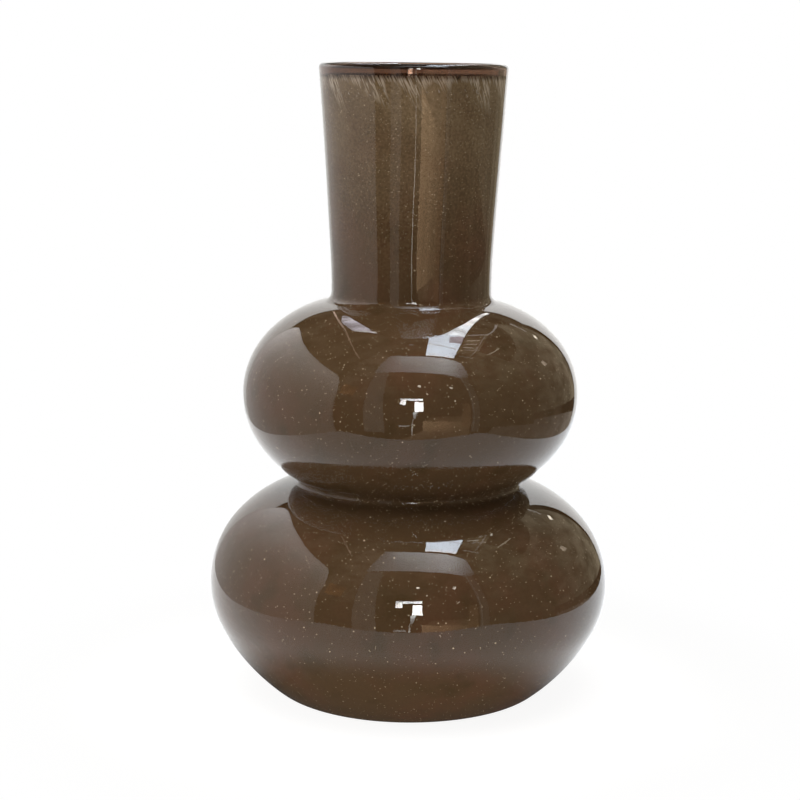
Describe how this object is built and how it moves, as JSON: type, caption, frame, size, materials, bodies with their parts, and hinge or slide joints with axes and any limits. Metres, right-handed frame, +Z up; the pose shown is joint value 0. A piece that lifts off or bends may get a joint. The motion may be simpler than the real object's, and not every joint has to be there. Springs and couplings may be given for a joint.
{
  "type": "gourd vase",
  "caption": "Blown gourd vase of smoky brown cased glass, with a flared neck over a small and a large round lobe on a flat foot.",
  "frame": {"origin": "middle of the foot, on the surface that the vase stands on", "axes": "+Z up along the axis of the vase, towards the mouth; the vase is round, so X and Y have no own direction, and -Y is taken as the front"},
  "size_m": [0.1914, 0.1914, 0.3],
  "materials": {
    "clear_glass": "polished, clear with a faint smoky tint",
    "taupe_colour": "opaque taupe powder colour in glass, with fine golden specks",
    "tinted_glass": "polished, transparent reddish brown"
  },
  "bodies": {
    "root": {"clear_casing": "clear_glass", "colour_layer": "taupe_colour", "inner_glass": "tinted_glass"}
  },
  "joints": []
}
